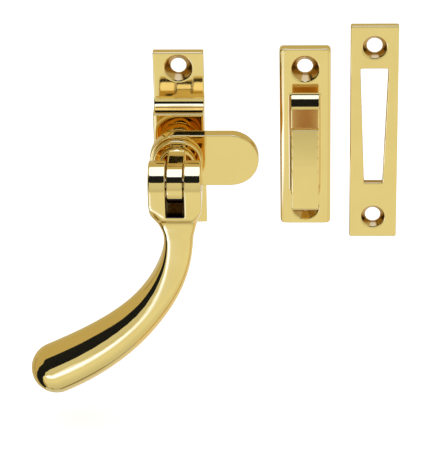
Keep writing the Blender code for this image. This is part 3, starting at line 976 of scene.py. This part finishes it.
def pool(name, rows, height, edge, middle, feather, across=24):
    """A bright patch low in front: rows of (forward, left, right) in millimetres.

    It fades out over feather, a share of its width, and three times as fast at its near end."""
    grid = []
    lines = filled_in(rows, [6] * (len(rows) - 1))
    for number, (forward, left, right) in enumerate(lines):
        line = []
        along = number / (len(lines) - 1)
        for i in range(across + 1):
            share = i / across
            spot = Vector((left + (right - left) * share, -forward, height)) * MM
            inset = min(share, 1 - share, 3 * along, 1 - along)
            line.append((spot, smooth_step(inset / feather)))
        grid.append(line)
    show_in_brass_only(name, grid, (0, 0, 0), glowing(name, edge, middle))


def thin_line(name, turn, start, end, half_width, distance, colour):
    """A narrow strip round a cone, turn degrees off the view, that draws a fine line in an edge."""
    front = towards(0, CAMERA_ELEVATION)
    right = Vector((1, 0, 0))
    up = front.cross(right)
    grid = []
    for side in (-half_width, half_width):
        angle = radians(turn + side)
        line = []
        for i in range(91):
            around = radians(start + (end - start) * i / 90)
            spread = right * cos(around) + up * sin(around)
            line.append(((front * cos(angle) + spread * sin(angle)) * distance, 0.0))
        grid.append(line)
    show_in_brass_only(name, grid, MIDDLE, glowing(name, colour, colour))


def times(share, colour):
    return tuple(share * c for c in colour)


def cards():
    """What the brass mirrors. White is rich in blue, so that brass shows it without a tint."""
    black = (0.012, 0.016, 0.03)
    pale = (0.89, 0.99, 1.03)
    white = (1.35, 1.85, 4.4)
    brown = (0.62, 0.58, 0.38)
    cream = (0.88, 0.84, 0.7)
    dark_olive = (0.36, 0.33, 0.22)
    below = ((-90, 0.75), (-62, 0.85), (-40, 1.05), (-22, 1.03), (-14, 0.76))
    above = ((2, 0.84), (25, 0.9), (90, 1.0))
    surroundings([(elevation, times(share, pale)) for elevation, share in below + above], 4.0)
    card("overhead_white", [(63, -180, 180), (78, -180, 180), (89.5, -180, 180)], 3.2, white)
    card("front_black", [(29.5, -50, 40), (40, -45, 40), (65, -40, 40)], 2.0, black)
    card(
        "left_black",
        [
            (-62, -124, -84),
            (-42, -106, -70),
            (-26, -97, -61),
            (-8, -88, -49),
            (6, -80, -36),
            (15, -76, -31),
            (25, -75, -28),
            (36, -76, -28),
            (46, -78, -36),
            (51, -81, -46),
            (54, -85, -58),
        ],
        2.1,
        black,
    )
    card("left_brown", [(-60, -180, -60), (0, -180, -60), (60, -180, -50)], 3.0, brown)
    card("back_brown", [(-24, 140, 180), (-10, 120, 180), (20, 110, 180), (60, 100, 180)], 3.0, brown)
    card("right_cream", [(-66, 70, 180), (-24, 70, 180)], 3.1, cream)
    thin_line("edge_line", 116, 20, -200, 3.0, 2.3, dark_olive)
    pool(
        "front_left_pool",
        [
            (74, -92, -54),
            (92, -100, -28),
            (114, -104, -12),
            (145, -97, -2),
            (190, -94, -14),
            (330, -120, -48),
        ],
        -84,
        pale,
        times(1.2, white),
        feather=0.42,
    )


def softbox(name, place, aim, width, height, power):
    """A soft light that the brass doesn't mirror."""
    data = bpy.data.lights.new(name, "AREA")
    data.shape = "RECTANGLE"
    data.size = width
    data.size_y = height
    data.energy = power
    obj = bpy.data.objects.new(name, data)
    bpy.context.scene.collection.objects.link(obj)
    turn = (Vector(aim) - Vector(place)).to_track_quat("-Z", "Y").to_matrix().to_4x4()
    obj.matrix_world = Matrix.Translation(place) @ turn
    obj.visible_camera = False
    obj.visible_glossy = False


def world():
    made = bpy.data.worlds.new("studio")
    bpy.context.scene.world = made
    made.use_nodes = True
    background = made.node_tree.nodes["Background"]
    background.inputs["Color"].default_value = (1, 1, 1, 1)
    background.inputs["Strength"].default_value = 0.96


# ---------------------------------------------------------------- everything in its place


def below_face(x, z, width, length, thickness):
    """The holes of a plate: all that lies inside its rim and behind its front face."""
    across, along = width / 2 - RIM_CLEAR, length / 2 - RIM_CLEAR
    low = (x - across, FACE_CLEAR - thickness, z - along)
    high = (x + across, 1.0, z + along)
    return low, high, RECESS_BROWN, RECESS_GRAIN


plate_holes = below_face(0, 0, PLATE_WIDTH, PLATE_LENGTH, PLATE_THICKNESS)
hook_holes = below_face(HOOK_X, HOOK_Z, HOOK_WIDTH, HOOK_LENGTH, HOOK_THICKNESS)
mortice_holes = below_face(MORTICE_X, MORTICE_Z, MORTICE_WIDTH, MORTICE_LENGTH, MORTICE_THICKNESS)
# Painted shade: near black inside the fork's slot, standing in for the shade in the gap between the ears.
fork_slot = ((-3.0, -60, FORK_FLOOR - 0.3), (3.0, 0, 20), (0.022, 0.014, 0.026), 0.16)
# Painted shade: browner and duller behind the hook's strap, where the strap shades the throat.
hook_throat_shade = ((HOOK_X - 4.25, -20.2, -15), (HOOK_X + 4.25, -5.9, 12), (0.80, 0.50, 0.15), 0.34)
polished = brass("polished_brass", BRASS, 0.03, 0.05)
plate_brass = brass("polished_brass_plate", BRASS, 0.03, 0.05, [plate_holes])
hook_brass = brass("polished_brass_hook", BRASS, 0.03, 0.05, [hook_holes, hook_throat_shade])
mortice_brass = brass("polished_brass_mortice", BRASS, 0.05, 0.08, [mortice_holes])
handle_brass = brass("polished_brass_handle", BRASS, 0.03, 0.05, [fork_slot])
plain = brass("plain_brass", BRASS, 0.3, 0.15)
steel = brass("spring_steel", (0.62, 0.61, 0.58), 0.25, 0.15)

PIECES = (
    ("fastener_plate", mounting_plate, "plates", "mounting_plate", "polished_brass", plate_brass),
    ("hook_and_plate", hook_plate, "plates", "hook_plate", "polished_brass", hook_brass),
    ("mortice_cover", mortice_plate, "plates", "mortice_plate", "polished_brass", mortice_brass),
    ("washer_plain", rivet_washer, "turning_spindle", "rivet_washer", "plain_brass", plain),
    ("washer_dished", spring_washer, "turning_spindle", "spring_washer", "spring_steel", steel),
    ("collar_behind_tongue", spacer_collar, "turning_spindle", "spacer_collar", "polished_brass", polished),
    ("fastener_tongue", tongue, "turning_spindle", "tongue", "polished_brass", polished),
    ("collar_over_tongue", boss_collar, "turning_spindle", "boss_collar", "polished_brass", polished),
    ("spindle_and_lug", spindle, "turning_spindle", "spindle", "polished_brass", polished),
    ("bulb_end_handle", handle, "flip_handle", "handle", "polished_brass", handle_brass),
    ("hinge_pin", knuckle_pin, "flip_handle", "knuckle_pin", "polished_brass", polished),
)
for piece_name, model, body, node, slot_name, material in PIECES:
    publish(piece_name, model(), body, [node], material)
for leftover in list(workshop.objects):
    bpy.data.objects.remove(leftover)
bpy.data.collections.remove(workshop)

camera()
floor()
cards()
world()
softbox("overhead", (0.02, -0.05, 0.6), (0.02, 0, 0), 1.2, 0.8, 2)
bpy.context.scene.view_settings.view_transform = "Standard"
